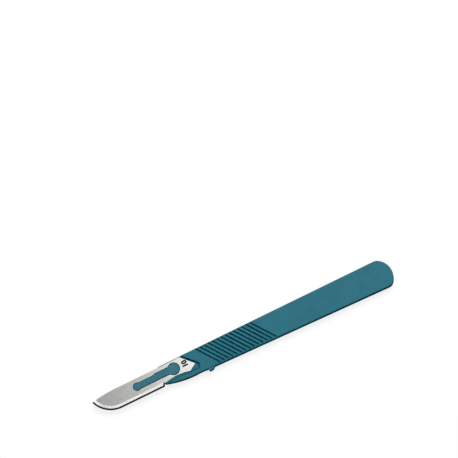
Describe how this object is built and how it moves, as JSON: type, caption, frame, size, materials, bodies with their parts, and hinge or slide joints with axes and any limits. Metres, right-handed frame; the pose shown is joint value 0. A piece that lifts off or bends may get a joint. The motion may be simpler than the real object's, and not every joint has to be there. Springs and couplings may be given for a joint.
{
  "type": "disposable scalpel",
  "caption": "Slim one-piece moulded handle with slanted grip grooves and a stop nib, carrying a fixed steel blade with a curved cutting edge and keyhole slot.",
  "frame": {"origin": "middle of the length and width, on the surface that the scalpel lies on", "axes": "+X from the blade's point towards the tail, +Y towards the spine, away from the cutting edge, +Z out of the upper face, where the blade and the boss show"},
  "size_m": [0.1206, 0.0109, 0.0036],
  "materials": {
    "handle_plastic": "satin moulded plastic, opaque blue green",
    "blade_steel": "fine satin with a bright ground edge"
  },
  "bodies": {
    "root": {"handle": "handle_plastic", "blade": "blade_steel"}
  },
  "joints": []
}
